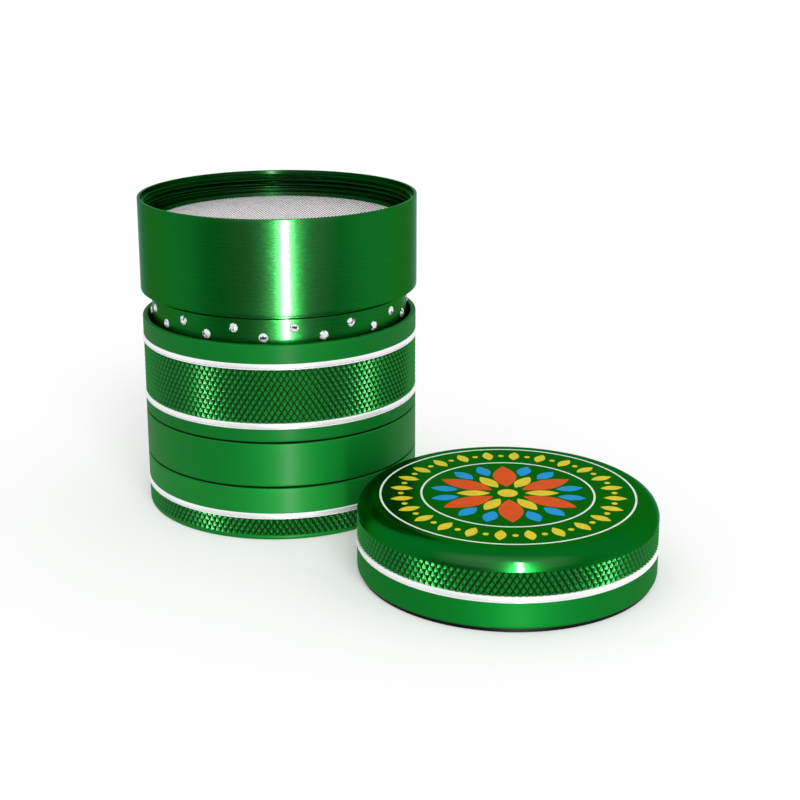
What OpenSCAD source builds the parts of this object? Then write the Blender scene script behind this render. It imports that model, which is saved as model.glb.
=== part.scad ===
// Herb grinder with a stack of screwed chambers and a separate lid, lying beside the stack.
// Origin: centre of the base cup's underside. +Z up, +X and -Y towards the lid.

/* [Overall] */
// Outside diameter of the knurled pieces
body_d = 62.6; // [54:0.2:80]
// Height of the base cup
base_h = 12; // [10:0.5:20]
// Height of the catch ring with the seal under it
catch_h = 10.2; // [9:0.2:20]
// Height of the grinding chamber with the seal under it, up to its rim
chamber_h = 22.1; // [18:0.1:30]
// Open height between the chamber's rim and the top ring's shoulder
neck_show = 6.1; // [5:0.1:10]
// Height of the top ring above its shoulder
top_h = 20.9; // [14:0.1:30]
// Height of the lid with the glide ring under it
lid_h = 16.2; // [13:0.1:24]
// Small chamfer on the outside edges
edge = 0.3; // [0.1:0.1:0.4]

/* [Lid place] */
// Free distance between the lid and the stack
lid_gap = 3.9; // [1:0.1:40]
// Direction from the stack to the lid
lid_angle = -41.6; // [-90:0.1:90]

/* [Threads] */
// Wall outside the female threads of the base cup and the catch ring
joint_wall = 2.3; // [1.8:0.1:3]
// Height of a thread ridge
thread_ridge = 0.5; // [0.3:0.1:0.6]
// Axial distance between thread turns
thread_pitch = 1.1; // [0.9:0.1:1.4]
// Number of thread turns in each joint
thread_turns = 4; // [3:1:4]
// Radial clearance between male and female crests
thread_gap = 0.3; // [0.2:0.05:0.4]
// Free height under the end of a male neck
neck_end_gap = 0.6; // [0.3:0.1:1]
// Wall of a male neck inside its thread
neck_wall = 1.6; // [1.2:0.1:2.5]
// Plain length of a neck above its thread
neck_relief = 0.6; // [0.4:0.1:1]

/* [Seals] */
// Thickness of the flat seal in each joint
seal_t = 0.4; // [0.3:0.05:0.8]
// Distance of a seal's outer edge inside the wall around it
seal_inset = 0.35; // [0.2:0.05:0.6]
// Radial clearance between a seal and the neck it is round
seal_gap = 0.35; // [0.2:0.05:0.5]

/* [Bright bands] */
// Height of a bright band
band_h = 1.3; // [0.9:0.1:2]
// How far a bright band stands proud of the body
band_proud = 0.2; // [0.1:0.05:0.4]
// Depth of the groove that a bright band sits in
band_depth = 0.7; // [0.5:0.1:0.9]
// Bevel on both edges of a bright band
band_bevel = 0.3; // [0.1:0.05:0.4]
// Height of the knurled grip and the plain foot under the base cup's bright band
base_knurl_h = 4.9; // [3:0.1:6.5]
// Height of the knurl between the chamber's bright bands
chamber_knurl_h = 12; // [8:0.1:13]
// Plain height above the chamber's seal and below its lower bright band
chamber_foot_h = 2.9; // [2:0.1:4]

/* [Base cup] */
// Thickness of the cup's floor
base_floor_t = 1.8; // [1.2:0.1:3]
// Wall of the cup under its thread
base_cup_wall = 3.7; // [3:0.1:5]
// Radius of the fillet between the cup's floor and its wall
base_fillet = 2.6; // [1:0.1:3]

/* [Screens] */
// Thickness of a woven screen
screen_t = 0.3; // [0.2:0.05:0.5]
// Height of a screen's retaining ring
screen_ring_h = 0.9; // [0.6:0.1:1.6]
// Width of a screen's retaining ring
screen_ring_w = 1.4; // [1:0.1:2]
// Width of the ledge that carries a screen
screen_ledge_w = 1.7; // [1.2:0.1:2.4]
// Thickness of the ledge that carries a screen
screen_ledge_t = 0.8; // [0.6:0.1:1.6]
// Radial clearance of a screen in its seat
screen_gap = 0.05; // [0.02:0.01:0.1]

/* [Grinding chamber] */
// Thickness of the chamber's rim
rim_t = 1.25; // [1:0.05:1.6]
// Depth of the open gap between the rim and the top ring's neck
moat_depth = 3.3; // [2.5:0.1:4]
// Width of the open gap between the rim and the top ring's neck
moat_w = 0.95; // [0.7:0.05:1.2]
// Width of the ledge between the rim's bore and the chamber's thread
ledge_w = 2.05; // [1.8:0.05:2.4]
// Thickness of the chamber's floor
chamber_floor_t = 2.6; // [2:0.1:4]
// Height of the chamber's teeth
chamber_tooth_h = 8; // [5:0.5:8.5]
// Number of teeth in the chamber's inner ring
chamber_teeth_inner = 6; // [4:1:7]
// Number of teeth in the chamber's outer ring
chamber_teeth_outer = 12; // [8:1:14]
// Diameter of the holes through the chamber's floor
floor_hole_d = 3.6; // [2.6:0.1:4]
// Number of holes in the inner ring of holes
floor_holes_inner = 10; // [6:1:12]
// Number of holes in the outer ring of holes
floor_holes_outer = 18; // [10:1:22]

/* [Teeth] */
// Length of a tooth round the ring
tooth_l = 3.6; // [3:0.1:4]
// Width of a tooth across the ring
tooth_w = 2.4; // [1.8:0.1:2.6]
// Radial step between a ring of lid teeth and the next ring of chamber teeth
tooth_step = 4.6; // [4.4:0.1:4.8]
// Radial gap between the lid's outer teeth and the lid's wall
tooth_wall_gap = 2.7; // [2.4:0.1:3.4]
// Number of teeth in the lid's inner ring
lid_teeth_inner = 8; // [6:1:10]
// Number of teeth in the lid's outer ring
lid_teeth_outer = 14; // [10:1:18]

/* [Magnets] */
// Diameter of a magnet
magnet_d = 8; // [5:0.5:8.5]
// Thickness of a magnet
magnet_t = 3; // [2:0.5:3.5]
// Wall round a magnet
magnet_wall = 1.3; // [1:0.1:1.6]
// Radial clearance of a magnet in its pocket
magnet_gap = 0.05; // [0.02:0.01:0.1]

/* [Top ring] */
// How far the top ring stands proud of the knurled pieces
top_proud = 0.2; // [0:0.05:0.3]
// Width of the flat lip round the mouth
lip_w = 0.7; // [0.5:0.05:1]
// Depth of the step inside the lip
step_h = 0.9; // [0.6:0.1:1.4]
// Width of the step inside the lip
step_w = 0.9; // [0.7:0.05:1.2]
// Number of thread turns in the mouth
mouth_turns = 3; // [2:1:4]
// Depth of the screen's upper face below the mouth
top_screen_depth = 5.8; // [5.6:0.1:8]
// Wall of the top ring under its screen
top_wall = 2.8; // [2.2:0.1:4]
// Height of the sloping floor from the top ring's wall to its neck
top_slope_h = 3; // [2:0.1:4]

/* [Crystals] */
// Diameter of a crystal
crystal_d = 2.1; // [1.6:0.1:2.2]
// Depth of the pocket that a crystal sits in
crystal_pocket = 0.7; // [0.5:0.05:0.9]
// How far a crystal's face stands out of the neck
crystal_proud = 0.35; // [0.2:0.05:0.45]
// Radial clearance of a crystal in its pocket
crystal_gap = 0.03; // [0.02:0.01:0.06]
// Number of crystals in each of the two rows
crystals_per_row = 14; // [8:1:18]
// Distance between the two rows
crystal_row_gap = 2; // [1.6:0.1:2.2]
// Distance of the upper row below the shoulder
crystal_drop = 3.1; // [2.2:0.1:3.4]
// Angle of the first upper crystal from the front
crystal_start = 10.3; // [0:0.1:25]

/* [Lid] */
// Thickness of the lid's top
lid_top_t = 2.6; // [2:0.1:4]
// Wall of the lid's skirt
lid_wall = 3.3; // [3.2:0.1:4]
// Plain height of the skirt under the bright band
lid_skirt_h = 5.4; // [4:0.1:7]
// Radius of the rounded shoulder
lid_round = 3.6; // [2.5:0.1:4.5]
// Length of the lid's teeth
lid_tooth_h = 10.4; // [7:0.1:10.6]
// Length of the lid's centre boss
lid_boss_h = 5; // [4.5:0.1:8]

/* [Glide ring] */
// Height of the glide ring that shows under the lid
glide_h = 0.9; // [0.6:0.1:1.2]
// Width of the glide ring
glide_w = 1.8; // [1.5:0.1:2.2]
// Width of the glide ring's rib
glide_rib_w = 0.7; // [0.5:0.05:0.8]
// Height of the glide ring's rib
glide_rib_h = 1.4; // [1:0.1:2]
// Clearance of the glide ring's rib in the lid's groove
glide_gap = 0.3; // [0.15:0.05:0.35]
// Radial clearance of the glide ring in the step of the top ring's mouth
glide_fit = 0.1; // [0.05:0.05:0.2]

/* [Hidden] */
$fn = 96;

anodised = [0.02, 0.42, 0.12];
bright = [0.86, 0.87, 0.88];
mesh_grey = [0.80, 0.80, 0.81];
seal_black = [0.04, 0.04, 0.04];
magnet_grey = [0.62, 0.63, 0.65];
crystal_white = [0.94, 0.95, 0.97];

// How far a centre post or boss is sunk into the plate that carries it
root_sink = 0.5;

body_r = body_d / 2;
thread_len = thread_turns * thread_pitch;

// Heights of the joints
catch_z = base_h;
chamber_z = catch_z + catch_h;
rim_z = chamber_z + chamber_h;
shoulder_z = rim_z + neck_show;
top_z = shoulder_z + top_h;

// Radii of the two lower joints
joint_r = body_r - joint_wall;
male_r = joint_r - thread_gap;
neck_bore_r = male_r - thread_ridge - neck_wall;

// Radii of the joint inside the chamber's mouth
mouth_r = body_r - rim_t;
neck_r = mouth_r - moat_w;
spigot_joint_r = mouth_r - ledge_w;
spigot_male_r = spigot_joint_r - thread_gap;
spigot_bore_r = spigot_male_r - thread_ridge - neck_wall;
ledge_z = rim_z - moat_depth;

// Depth that a neck reaches below the face it rests on, and depth of the thread that takes it
neck_len = thread_len + neck_relief;
socket_depth = neck_len + neck_end_gap;

// Top ring
top_r = body_r + top_proud;
step_r = top_r - lip_w;
mouth_thread_r = step_r - step_w;
top_screen_z = top_z - top_screen_depth - screen_t;
top_seat_r = mouth_thread_r - thread_ridge - screen_gap;
top_cavity_r = top_r - top_wall;

// Catch ring's screen
catch_seat_r = neck_bore_r + screen_ring_w;
catch_screen_z = catch_z + seal_t + screen_ledge_t;

// Chamber
chamber_foot_z = chamber_z + seal_t;
lower_band_z = chamber_foot_z + chamber_foot_h;
upper_band_z = lower_band_z + band_h + chamber_knurl_h;
floor_z = chamber_foot_z + neck_relief;
floor_top_z = floor_z + chamber_floor_t;
post_r = magnet_d / 2 + magnet_wall;

// Lid
lid_distance = 2 * (body_r + max(band_proud, top_proud)) + lid_gap;
lid_cavity_r = body_r - lid_wall;
lid_band_z = glide_h + lid_skirt_h;
lid_ceiling_z = lid_h - lid_top_t;
glide_out_r = step_r - glide_fit;
glide_in_r = glide_out_r - glide_w;
glide_mid_r = (glide_out_r + glide_in_r) / 2;

// Rings of teeth, from the lid's wall inwards
lid_outer_teeth_r = lid_cavity_r - tooth_wall_gap - tooth_w / 2;
chamber_outer_teeth_r = lid_outer_teeth_r - tooth_step;
lid_inner_teeth_r = chamber_outer_teeth_r - tooth_step;
chamber_inner_teeth_r = lid_inner_teeth_r - tooth_step;

// Points of a ridged wall from z_low upwards: count ridges between the radii root and crest
function ridges(root, crest, z_low, count) = [
    for (i = [0 : count - 1])
        each [[root, z_low + i * thread_pitch], [crest, z_low + (i + 0.5) * thread_pitch]],
    [root, z_low + count * thread_pitch],
];

function turned_back(points) = [for (i = [len(points) - 1 : -1 : 0]) points[i]];

// Points of a quarter circle about centre, from angle from_a to angle to_a
function quarter(centre, r, from_a, to_a, steps = 8) = [
    for (i = [0 : steps])
        let (a = from_a + (to_a - from_a) * i / steps)
            centre + r * [cos(a), sin(a)],
];

// Outside wall from z_low to z_high at radius r with chamfered edges
function plain_wall(r, z_low, z_high) = [
    [r - edge, z_low],
    [r, z_low + edge],
    [r, z_high - edge],
    [r - edge, z_high],
];

// The recess for a bright band whose underside is at z
function band_recess(z) = [
    [body_r, z],
    [body_r - band_depth, z],
    [body_r - band_depth, z + band_h],
    [body_r, z + band_h],
];

// A male neck from its end up to the face it rests on, with the ridges outside
function male_neck(crest, z_face) = concat(
    [[crest - thread_ridge, z_face - neck_len]],
    ridges(crest - thread_ridge, crest, z_face - neck_len, thread_turns),
    [[crest - thread_ridge, z_face]]
);

// A socket from its mouth down to its floor, with the ridges inside
function socket(crest, z_face) = concat(
    [[crest + thread_ridge, z_face]],
    turned_back(ridges(crest + thread_ridge, crest, z_face - thread_len, thread_turns)),
    [[crest + thread_ridge, z_face - socket_depth]]
);

module turned(points) {
    rotate_extrude()
        polygon(points);
}

module ring(r_out, r_in, z_low, h) {
    translate([0, 0, z_low])
        difference() {
            cylinder(r = r_out, h = h);
            translate([0, 0, -h])
                cylinder(r = r_in, h = 3 * h);
        }
}

module bright_band(z) {
    r_out = body_r + band_proud;
    r_in = body_r - band_depth;
    turned([
        [r_in, z],
        [r_out - band_bevel, z],
        [r_out, z + band_bevel],
        [r_out, z + band_h - band_bevel],
        [r_out - band_bevel, z + band_h],
        [r_in, z + band_h],
    ]);
}

// A ring of upright diamond-shaped teeth
module teeth(r, count, z_low, h) {
    for (i = [0 : count - 1])
        rotate([0, 0, i * 360 / count])
            translate([r, 0, z_low])
                linear_extrude(height = h)
                    polygon([
                        [tooth_w / 2, 0],
                        [0, tooth_l / 2],
                        [-tooth_w / 2, 0],
                        [0, -tooth_l / 2],
                    ]);
}

module magnet(z) {
    translate([0, 0, z])
        cylinder(r = magnet_d / 2, h = magnet_t);
}

module magnet_pocket(z, h) {
    translate([0, 0, z])
        cylinder(r = magnet_d / 2 + magnet_gap, h = h);
}

module at_lid() {
    translate([lid_distance * cos(lid_angle), lid_distance * sin(lid_angle), 0])
        children();
}

// Places children on the neck, one for each crystal, with +Z pointing outwards
module at_crystals() {
    step = 360 / crystals_per_row;
    for (row = [0 : 1], i = [0 : crystals_per_row - 1])
        rotate([0, 0, crystal_start + (i + row / 2) * step - 90])
            translate([neck_r, 0, shoulder_z - crystal_drop - row * crystal_row_gap])
                rotate([0, 90, 0])
                    children();
}

module base_cup() {
    cup_r = body_r - base_cup_wall;
    fillet_centre = [cup_r - base_fillet, base_floor_t + base_fillet];
    wall = plain_wall(body_r, 0, base_h);
    color(anodised)
        turned(concat(
            [[0, 0], wall[0], wall[1]],
            band_recess(base_knurl_h),
            [wall[2], wall[3]],
            socket(joint_r, base_h),
            [[cup_r, base_h - socket_depth]],
            quarter(fillet_centre, base_fillet, 0, -90),
            [[0, base_floor_t]]
        ));
}

module base_band() {
    color(bright)
        bright_band(base_knurl_h);
}

module base_seal() {
    color(seal_black)
        ring(body_r - seal_inset, male_r + seal_gap, catch_z, seal_t);
}

module catch_ring() {
    wall = plain_wall(body_r, catch_z + seal_t, chamber_z);
    color(anodised)
        turned(concat(
            [[neck_bore_r, catch_z - neck_len]],
            male_neck(male_r, catch_z),
            [[male_r - thread_ridge, catch_z + seal_t]],
            wall,
            socket(joint_r, chamber_z),
            [
                [catch_seat_r, chamber_z - socket_depth],
                [catch_seat_r, catch_screen_z],
                [catch_seat_r - screen_ledge_w, catch_screen_z],
                [catch_seat_r - screen_ledge_w, catch_screen_z - screen_ledge_t],
            ]
        ));
}

module catch_screen() {
    color(mesh_grey)
        translate([0, 0, catch_screen_z])
            cylinder(r = catch_seat_r - screen_gap, h = screen_t);
}

module catch_screen_ring() {
    r_out = catch_seat_r - screen_gap;
    color(bright)
        ring(r_out, r_out - screen_ring_w, catch_screen_z + screen_t, screen_ring_h);
}

module catch_seal() {
    color(seal_black)
        ring(body_r - seal_inset, male_r + seal_gap, chamber_z, seal_t);
}

module chamber_body() {
    wall = plain_wall(body_r, chamber_foot_z, rim_z);
    pocket_z = floor_top_z + chamber_tooth_h - magnet_t;
    root_z = floor_top_z - root_sink;
    color(anodised)
        difference() {
            union() {
                turned(concat(
                    [[neck_bore_r, chamber_z - neck_len]],
                    male_neck(male_r, chamber_z),
                    [[male_r - thread_ridge, chamber_foot_z]],
                    [wall[0], wall[1]],
                    band_recess(lower_band_z),
                    band_recess(upper_band_z),
                    [wall[2], wall[3], [mouth_r, rim_z], [mouth_r, ledge_z]],
                    socket(spigot_joint_r, ledge_z),
                    [
                        [spigot_joint_r, ledge_z - socket_depth],
                        [spigot_joint_r, floor_top_z],
                        [0, floor_top_z],
                        [0, floor_z],
                        [neck_bore_r, floor_z],
                    ]
                ));
                translate([0, 0, root_z])
                    cylinder(r = post_r, h = root_sink + chamber_tooth_h);
            }
            magnet_pocket(pocket_z, 2 * magnet_t);
            floor_holes(lid_inner_teeth_r, floor_holes_inner);
            floor_holes(lid_outer_teeth_r, floor_holes_outer);
        }
}

module chamber_teeth() {
    color(anodised) {
        teeth(chamber_inner_teeth_r, chamber_teeth_inner, floor_top_z, chamber_tooth_h);
        teeth(chamber_outer_teeth_r, chamber_teeth_outer, floor_top_z, chamber_tooth_h);
    }
}

module floor_holes(r, count) {
    for (i = [0 : count - 1])
        rotate([0, 0, (i + 0.5) * 360 / count])
            translate([r, 0, floor_z - chamber_floor_t])
                cylinder(r = floor_hole_d / 2, h = 3 * chamber_floor_t);
}

module chamber_band_lower() {
    color(bright)
        bright_band(lower_band_z);
}

module chamber_band_upper() {
    color(bright)
        bright_band(upper_band_z);
}

module chamber_magnet() {
    color(magnet_grey)
        magnet(floor_top_z + chamber_tooth_h - magnet_t);
}

module chamber_seal() {
    color(seal_black)
        ring(mouth_r - seal_inset, spigot_male_r + seal_gap, ledge_z, seal_t);
}

module top_ring() {
    wall = plain_wall(top_r, shoulder_z, top_z);
    face_z = ledge_z + seal_t;
    screen_open_r = top_seat_r - screen_ledge_w;
    mouth_thread_z = top_z - step_h - mouth_turns * thread_pitch;
    color(anodised)
        difference() {
            turned(concat(
                [[spigot_bore_r, ledge_z - neck_len]],
                male_neck(spigot_male_r, ledge_z),
                [
                    [spigot_male_r - thread_ridge, face_z],
                    [neck_r, face_z],
                    [neck_r, shoulder_z],
                ],
                wall,
                [[step_r, top_z], [step_r, top_z - step_h]],
                turned_back(ridges(
                    mouth_thread_r + thread_ridge, mouth_thread_r, mouth_thread_z, mouth_turns
                )),
                [
                    [top_seat_r + screen_gap, mouth_thread_z],
                    [top_seat_r + screen_gap, top_screen_z],
                    [screen_open_r, top_screen_z],
                    [screen_open_r, top_screen_z - screen_ledge_t],
                    [top_cavity_r, top_screen_z - screen_ledge_t - (top_cavity_r - screen_open_r)],
                    [top_cavity_r, shoulder_z + top_slope_h],
                    [spigot_bore_r, shoulder_z],
                ]
            ));
            at_crystals()
                translate([0, 0, -crystal_pocket])
                    cylinder(r = crystal_d / 2 + crystal_gap, h = 2 * crystal_pocket, $fn = 32);
        }
}

module top_screen() {
    color(mesh_grey)
        translate([0, 0, top_screen_z])
            cylinder(r = top_seat_r, h = screen_t);
}

module top_screen_ring() {
    color(anodised)
        ring(top_seat_r, top_seat_r - screen_ring_w, top_screen_z + screen_t, screen_ring_h);
}

module crystals() {
    cap_h = crystal_proud * 0.8;
    stem_h = crystal_pocket + crystal_proud - cap_h;
    color(crystal_white)
        at_crystals()
            translate([0, 0, -crystal_pocket]) {
                cylinder(r = crystal_d / 2, h = stem_h, $fn = 32);
                translate([0, 0, stem_h])
                    cylinder(r1 = crystal_d / 2, r2 = crystal_d / 3.4, h = cap_h, $fn = 32);
            }
}

module lid_glide_ring() {
    color(seal_black)
        at_lid() {
            ring(glide_out_r, glide_in_r, 0, glide_h);
            ring(
                glide_mid_r + glide_rib_w / 2, glide_mid_r - glide_rib_w / 2,
                glide_h, glide_rib_h
            );
        }
}

module lid_shell() {
    groove_w = glide_rib_w + 2 * glide_gap;
    groove_top = glide_h + glide_rib_h + glide_gap;
    boss_r = magnet_d / 2 + magnet_wall;
    boss_z = lid_ceiling_z - lid_boss_h;
    round_centre = [body_r - lid_round, lid_h - lid_round];
    color(anodised)
        at_lid() {
            turned(concat(
                [
                    [lid_cavity_r, glide_h],
                    [glide_mid_r - groove_w / 2, glide_h],
                    [glide_mid_r - groove_w / 2, groove_top],
                    [glide_mid_r + groove_w / 2, groove_top],
                    [glide_mid_r + groove_w / 2, glide_h],
                    [body_r - edge, glide_h],
                    [body_r, glide_h + edge],
                ],
                band_recess(lid_band_z),
                quarter(round_centre, lid_round, 0, 90),
                [[0, lid_h], [0, lid_ceiling_z], [lid_cavity_r, lid_ceiling_z]]
            ));
            difference() {
                translate([0, 0, boss_z])
                    cylinder(r = boss_r, h = lid_boss_h + root_sink);
                magnet_pocket(boss_z - magnet_t, 2 * magnet_t);
            }
        }
}

module lid_teeth() {
    teeth_z = lid_ceiling_z - lid_tooth_h;
    color(anodised)
        at_lid() {
            teeth(lid_inner_teeth_r, lid_teeth_inner, teeth_z, lid_tooth_h);
            teeth(lid_outer_teeth_r, lid_teeth_outer, teeth_z, lid_tooth_h);
        }
}

module lid_band() {
    color(bright)
        at_lid()
            bright_band(lid_band_z);
}

module lid_magnet() {
    color(magnet_grey)
        at_lid()
            magnet(lid_ceiling_z - lid_boss_h);
}

base_cup();
base_band();
base_seal();
catch_ring();
catch_screen();
catch_screen_ring();
catch_seal();
chamber_body();
chamber_teeth();
chamber_band_lower();
chamber_band_upper();
chamber_magnet();
chamber_seal();
top_ring();
top_screen();
top_screen_ring();
crystals();
lid_glide_ring();
lid_shell();
lid_teeth();
lid_band();
lid_magnet();
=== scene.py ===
"""A green anodised herb grinder: a stack of screwed chambers with its lid beside it."""

import math

import bmesh
import bpy
import numpy as np
from bpy.props import FloatProperty, FloatVectorProperty, IntProperty, PointerProperty
from mathutils import Matrix, Vector


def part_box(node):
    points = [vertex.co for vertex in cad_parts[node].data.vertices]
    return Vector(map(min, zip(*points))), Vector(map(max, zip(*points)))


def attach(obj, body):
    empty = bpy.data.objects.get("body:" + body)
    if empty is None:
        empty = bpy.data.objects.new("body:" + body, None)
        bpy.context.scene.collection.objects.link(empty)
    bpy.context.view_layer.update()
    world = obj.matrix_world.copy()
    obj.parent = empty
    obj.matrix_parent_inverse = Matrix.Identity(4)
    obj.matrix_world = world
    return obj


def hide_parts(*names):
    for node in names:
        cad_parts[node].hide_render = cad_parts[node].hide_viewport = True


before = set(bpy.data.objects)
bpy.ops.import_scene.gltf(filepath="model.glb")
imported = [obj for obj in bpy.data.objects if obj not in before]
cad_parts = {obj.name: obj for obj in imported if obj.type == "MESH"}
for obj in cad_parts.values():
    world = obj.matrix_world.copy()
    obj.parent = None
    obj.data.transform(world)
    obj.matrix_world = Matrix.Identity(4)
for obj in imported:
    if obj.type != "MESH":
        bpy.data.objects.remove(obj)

bl_info = {
    "name": "Herb Grinder",
    "version": (1, 0, 0),
    "blender": (4, 5, 0),
    "location": "3D View > Sidebar > Grinder",
    "description": "Builds an anodised herb grinder round its construction frame",
    "category": "Add Mesh",
}

MM = 0.001
FULL_TURN = 2 * math.pi


# ---------------------------------------------------------------- sizes from the frame

def low_z(node):
    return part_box(node)[0].z / MM


def high_z(node):
    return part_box(node)[1].z / MM


def width_r(node):
    lowest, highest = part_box(node)
    return (highest.x - lowest.x) / 2 / MM


def axis_of(node):
    """The axis of a round node, as (x, y) in metres."""
    lowest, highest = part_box(node)
    return ((lowest.x + highest.x) / 2, (lowest.y + highest.y) / 2)


STACK_AXIS = (0.0, 0.0)
LID_AXIS = axis_of("lid_shell")
BODY_R = width_r("base_cup")


# ---------------------------------------------------------------- settings

def size(name, description, default):
    """A length in millimetres."""
    return FloatProperty(name=name, description=description, default=default, min=0.0)


def share(name, description, default):
    return FloatProperty(name=name, description=description, default=default, min=0.0, max=1.0)


def angle(name, description, degrees):
    return FloatProperty(
        name=name, description=description, default=math.radians(degrees), subtype="ANGLE"
    )


def colour(name, description, default):
    return FloatVectorProperty(
        name=name, description=description, default=default, subtype="COLOR", min=0.0, max=1.0
    )


def count(name, description, default):
    return IntProperty(name=name, description=description, default=default, min=1)


class GrinderShape(bpy.types.PropertyGroup):
    """Walls, edges and joints of the turned pieces, in millimetres."""

    segments: count("Segments", "Steps round a turned piece", 320)
    edge_round: size("Edge Round", "Size of the round on a turned corner", 0.3)
    inner_round: size("Inner Round", "Size of the round on an inside corner", 0.12)
    recess: size("Recess", "Depth of the recess under a bright band or a knurl", 0.9)
    socket_r: size("Socket Radius", "Crest radius of the threads in the two sockets", 29.0)
    neck_r: size("Male Radius", "Crest radius of the threads on the lower necks", 28.7)
    neck_bore_r: size("Neck Bore", "Radius inside the lower necks", 26.6)
    thread_ridge: size("Thread Ridge", "Height of a thread ridge", 0.5)
    thread_pitch: size("Thread Pitch", "Axial distance between thread turns", 1.1)
    thread_turns: count("Thread Turns", "Turns of thread in a joint", 4)
    neck_len: size("Neck Length", "Length of a male neck", 5.0)
    socket_depth: size("Socket Depth", "Depth of a socket", 5.6)


class KnurlShape(bpy.types.PropertyGroup):
    """The diamond knurl of the grips."""

    diamonds: count("Diamonds", "Diamonds round a grip", 145)
    height: size("Diamond Height", "Height of a diamond", 2.16)
    depth: size("Knurl Depth", "Depth of the knurl's grooves", 0.46)
    crest: share("Crest", "Share of the full pyramid that is left under a flat crest", 0.9)
    steps: count("Steps", "Mesh steps across a diamond each way", 8)


class ScreenShape(bpy.types.PropertyGroup):
    """The woven screens, in millimetres."""

    fine_pitch: size("Fine Pitch", "Distance between the wires of the upper screen", 0.68)
    coarse_pitch: size("Coarse Pitch", "Distance between the wires of the lower screen", 0.8)
    warp_share: share("Warp Width", "Width of a warp wire as a share of the pitch", 0.66)
    weft_share: share("Weft Width", "Width of a weft wire as a share of the pitch", 0.44)
    wire_flat: size("Wire Thickness", "Thickness of a rolled wire", 0.12)
    weave_angle: angle("Weave Angle", "Turn of the weave", -13)


class CrystalShape(bpy.types.PropertyGroup):
    """The cut stones on the neck."""

    per_row: count("Stones per Row", "Stones in each of the two rows", 14)
    sides: count("Sides", "Facets round a stone", 10)
    stone_r: size("Stone Radius", "Radius of a stone's girdle", 1.05)
    crown: size("Crown Height", "How far a stone stands out of the neck", 0.35)
    drop: size("Row Drop", "Distance of the upper row below the shoulder", 3.1)
    row_gap: size("Row Gap", "Distance between the two rows", 2.0)
    start: angle("First Stone", "Angle of the first stone from the front", 10.3)


class PrintShape(bpy.types.PropertyGroup):
    """The printed circles on the lid, in millimetres."""

    ink: size("Ink", "Thickness of the printed ink", 0.03)
    line: size("Line", "Width of a printed circle", 0.42)
    outer_r: size("Outer Circle", "Radius of the outer printed circle", 26.4)
    inner_r: size("Inner Circle", "Radius of the inner printed circle", 17.9)


class Finishes(bpy.types.PropertyGroup):
    """Colours and gloss."""

    anodised: colour("Anodised", "Colour of the anodised aluminium", (0.0009, 0.19, 0.018))
    bare: colour("Bare Aluminium", "Colour of the bright bands", (0.97, 0.975, 0.98))
    wire: colour("Wire", "Colour of the woven wire", (0.98, 0.95, 0.96))
    rubber: colour("Seals", "Colour of the seals", (0.003, 0.003, 0.003))
    nylon: colour("Glide Ring", "Colour of the glide ring", (0.003, 0.003, 0.003))
    nickel: colour("Magnets", "Colour of the plated magnets", (0.66, 0.64, 0.60))
    crystal: colour("Crystal", "Colour of the cut stones", (0.97, 0.99, 1.0))
    ink_white: colour("White Ink", "Colour of the printed circles", (0.84, 0.9, 0.86))
    ink_yellow: colour("Yellow Ink", "Colour of the printed border", (0.76, 0.62, 0.03))
    ink_orange: colour("Orange Ink", "Colour of the large petals", (0.72, 0.085, 0.004))
    ink_blue: colour("Blue Ink", "Colour of the small petals", (0.008, 0.31, 0.68))


SETTINGS = {
    "grinder_shape": GrinderShape,
    "grinder_knurl": KnurlShape,
    "grinder_screen": ScreenShape,
    "grinder_crystals": CrystalShape,
    "grinder_print": PrintShape,
    "grinder_finish": Finishes,
}


# ---------------------------------------------------------------- outlines of turned pieces

def soften(points, radius):
    """An open outline with its inner corners cut to short rounds.

    A long side also gets a row beside each of its rounds, which keeps its shading flat."""
    out = [points[0]]
    for before, corner, after in zip(points, points[1:], points[2:]):
        corner = np.array(corner)
        sides = [np.array(point) - corner for point in (before, after)]
        lengths = [max(np.linalg.norm(side), 1e-9) for side in sides]
        start, end = (
            corner + side / length * min(radius, 0.45 * length)
            for side, length in zip(sides, lengths)
        )
        props = [
            [tuple(corner + side / length * 2 * radius)] if length > 8 * radius else []
            for side, length in zip(sides, lengths)
        ]
        out += props[0]
        for t in (0.0, 0.33, 0.67, 1.0):
            out.append(tuple((1 - t) ** 2 * start + 2 * t * (1 - t) * corner + t * t * end))
        out += props[1]
    return out + [points[-1]]


def arc(centre, radius, start, end, steps=10):
    """Points on a circle from the angle start to the angle end, in degrees."""
    angles = np.radians(np.linspace(start, end, steps + 1))
    return [(centre[0] + radius * math.cos(a), centre[1] + radius * math.sin(a)) for a in angles]


def thread_rows(shape, root, crest, z_from, z_to):
    """Rows of a helical thread along a wall: a radius for each step round, and a height."""
    rows_per_turn, run_out = 10, 0.5
    turn = np.arange(shape.segments) / shape.segments
    steps = max(2, round(abs(z_to - z_from) / shape.thread_pitch * rows_per_turn))
    rows = []
    for z in np.linspace(z_from, z_to, steps + 1):
        phase = (z / shape.thread_pitch - turn) % 1.0
        ridge = 0.5 - 0.5 * np.cos(FULL_TURN * phase)
        fade = min(1.0, abs(z - z_from) / run_out, abs(z - z_to) / run_out)
        rows.append((root + (crest - root) * ridge * fade, z))
    return rows


def male_neck(shape, crest, bore, z_face):
    """A threaded neck from the bottom of its bore up to the face it rests on."""
    root = crest - shape.thread_ridge
    bottom = z_face - shape.neck_len
    top = bottom + shape.thread_turns * shape.thread_pitch
    foot = [(bore, bottom + 0.5), (bore, bottom), (root, bottom), (root, bottom + 0.1)]
    rows = thread_rows(shape, root, crest, bottom + 0.12, top)
    return soften(foot, 0.15) + rows + [(root, z_face)]


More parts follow.
